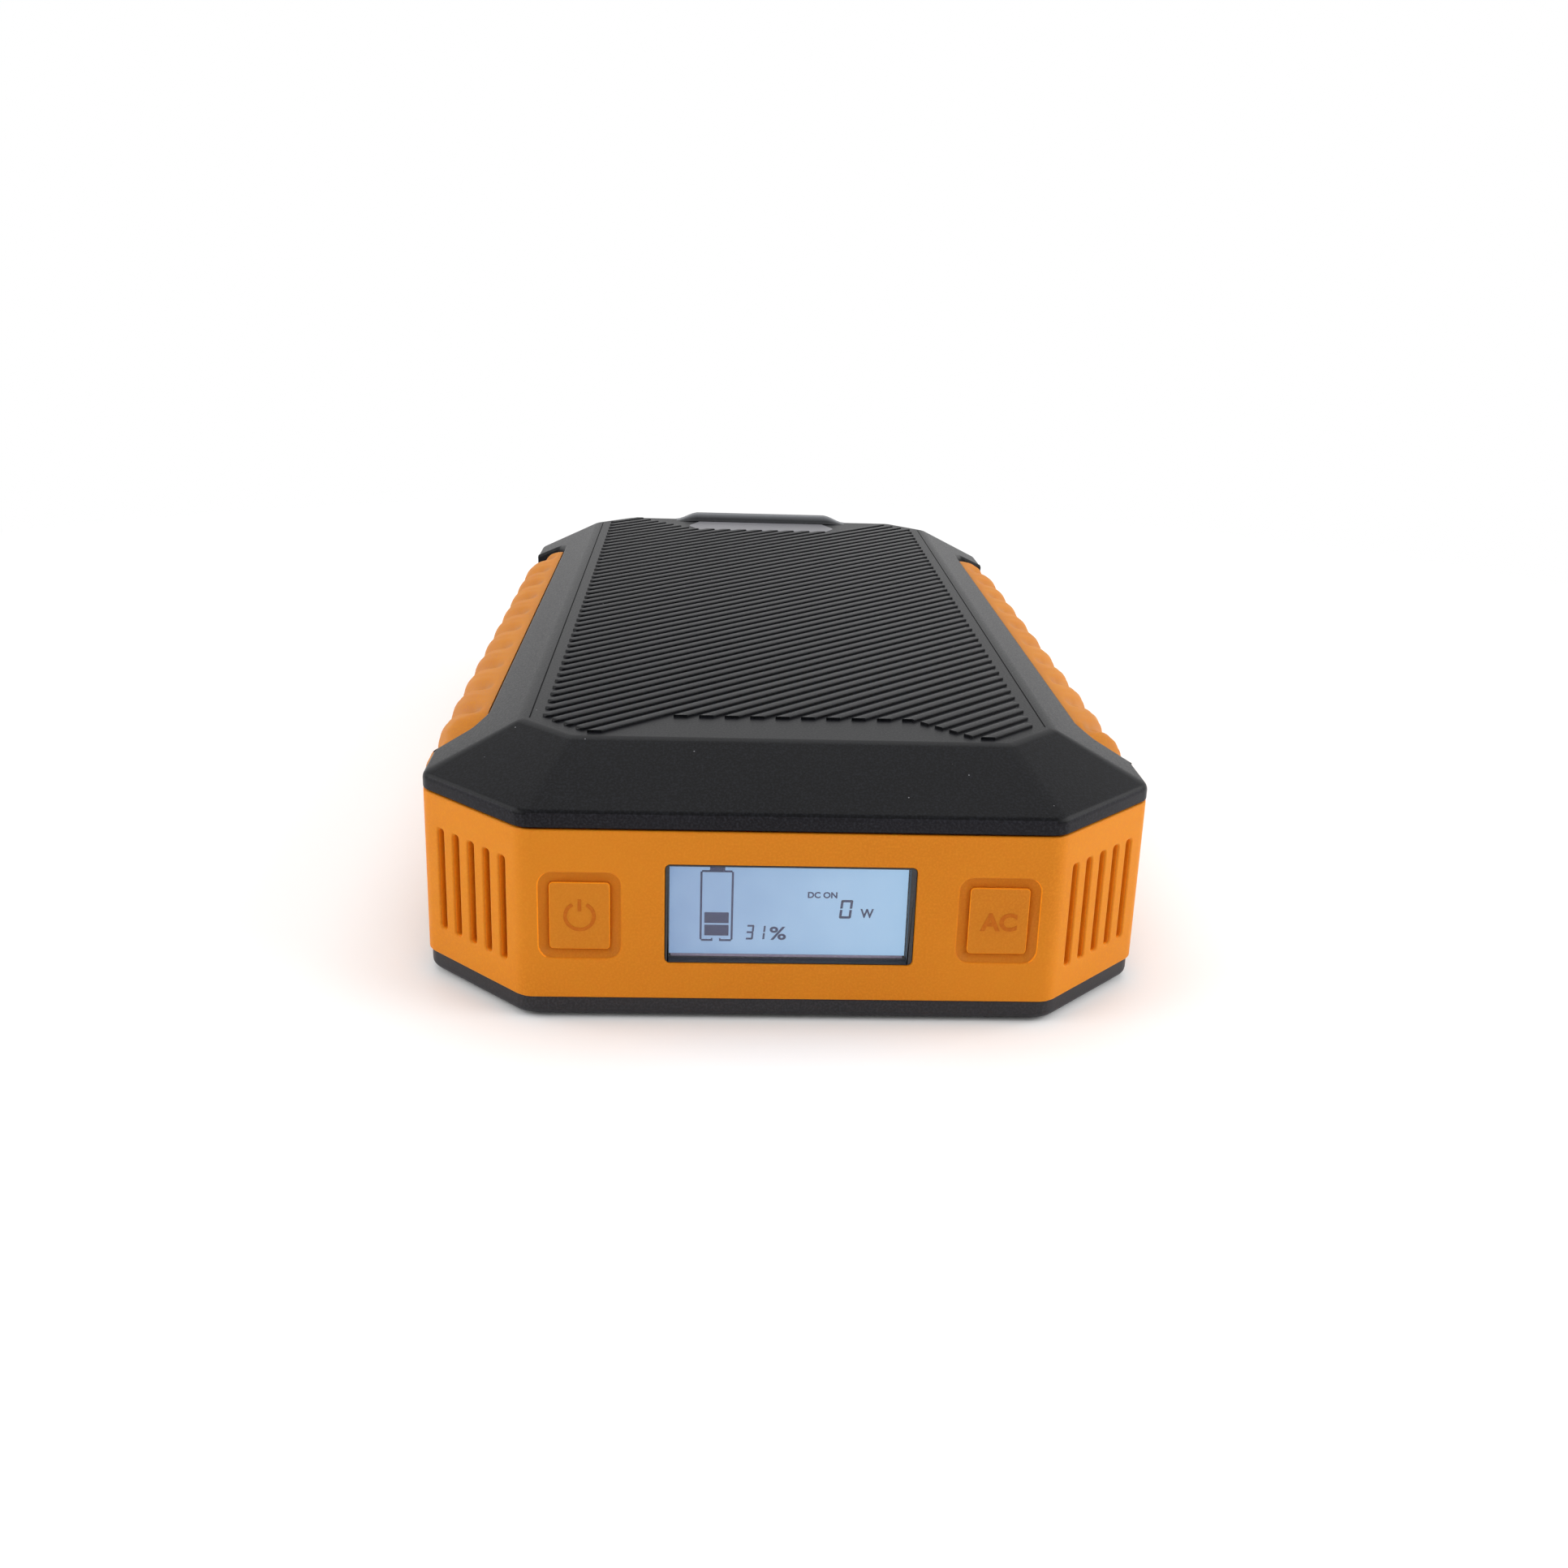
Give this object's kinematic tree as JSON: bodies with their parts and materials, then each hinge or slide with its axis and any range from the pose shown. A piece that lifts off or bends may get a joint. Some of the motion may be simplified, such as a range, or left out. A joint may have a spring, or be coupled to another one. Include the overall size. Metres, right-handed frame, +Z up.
{
  "type": "power station",
  "caption": "Slim hand-held power station with an orange skin, slant-ribbed black lid, lit display, two push buttons, side grips and rear outlets.",
  "frame": {"origin": "on the resting surface, below the middle of the case", "axes": "+Z up; +Y along the case from the display end to the outlet end; +X to the right when facing the display"},
  "size_m": [0.1336, 0.24, 0.047],
  "materials": {
    "shell_black": "fine matt moulding grain",
    "lid_black": "fine matt moulding grain, satin on the ribs",
    "skin_orange": "matt soft-touch silicone skin",
    "grip_orange": "matt soft-touch silicone",
    "foot_rubber": "matt",
    "screw_steel": "zinc plated",
    "clear_window": "clear, glossy",
    "lcd_panel": "pale blue lit liquid crystal display",
    "white_plastic": "white light guide box",
    "board_green": "solder mask",
    "part_black": "moulded",
    "metal_tin": "bright tinned or nickel sheet",
    "metal_aluminium": "extruded, satin",
    "metal_brass": "stamped or turned",
    "cell_can": null,
    "card_green": "fish paper",
    "foam_grey": "closed-cell foam",
    "ferrite": "sintered",
    "winding_tape": "polyester tape over windings",
    "winding_copper": "enamelled copper wire",
    "capacitor_sleeve": "shrink sleeve",
    "port_blue": "moulded tongue",
    "lead_red": "wire insulation",
    "lead_white": "wire insulation",
    "ribbon_grey": "flat cable"
  },
  "bodies": {
    "case": {"ac_outlet": "part_black", "ac_switch": "metal_tin", "backlight": "white_plastic", "battery_cells": "cell_can", "battery_leads": "lead_red", "bms_board": "board_green", "bms_transistors": "part_black", "board_screws": "screw_steel", "bottom_shell": "shell_black", "capacitors": "capacitor_sleeve", "case_screws": "screw_steel", "cell_holder_left": "part_black", "cell_holder_right": "part_black", "choke_coil": "winding_copper", "control_board": "board_green", "dc_board": "board_green", "dc_jack_pins": "metal_brass", "dc_jacks": "part_black", "display_bezel": "shell_black", "display_lens": "clear_window", "display_ribbon": "ribbon_grey", "fan_frame": "part_black", "fan_leads": "lead_red", "foam_pad_bottom": "foam_grey", "foam_pad_top": "foam_grey", "front_panel": "skin_orange", "grip_left": "grip_orange", "grip_right": "grip_orange", "heatsink": "metal_aluminium", "insulation_card_left": "card_green", "insulation_card_right": "card_green", "inverter_board": "board_green", "lcd_glass": "lcd_panel", "mid_frame": "shell_black", "nickel_strips_left": "metal_tin", "nickel_strips_right": "metal_tin", "outlet_leads": "lead_white", "outlet_terminals": "metal_brass", "port_plate_left": "part_black", "port_plate_right": "part_black", "power_switch": "metal_tin", "power_transistors": "part_black", "rear_panel": "skin_orange", "rubber_feet": "foot_rubber", "top_cover": "lid_black", "transformer_core": "ferrite", "transformer_winding": "winding_tape", "usb_a_shells": "metal_tin", "usb_a_tongues": "port_blue", "usb_board": "board_green", "usb_c_shell": "metal_tin", "usb_c_tongue": "part_black"},
    "power_button": {"power_button": "skin_orange", "power_plunger": "part_black"},
    "ac_button": {"ac_button": "skin_orange", "ac_plunger": "part_black"},
    "fan_rotor": {"fan_rotor": "part_black"}
  },
  "joints": [
    {"name": "power_button_press", "type": "slide", "parent": "case", "child": "power_button", "axis": [0, 1, 0], "range_m": [0, 0.0006], "stiffness_N_per_m": 2000, "springref_m": -0.0002},
    {"name": "ac_button_press", "type": "slide", "parent": "case", "child": "ac_button", "axis": [0, 1, 0], "range_m": [0, 0.0006], "stiffness_N_per_m": 2000, "springref_m": -0.0002},
    {"name": "fan_spin", "type": "hinge", "parent": "case", "child": "fan_rotor", "pos_m": [0.03584, -0.0803, 0.0179], "axis": [0, 1, 0], "continuous": true}
  ]
}
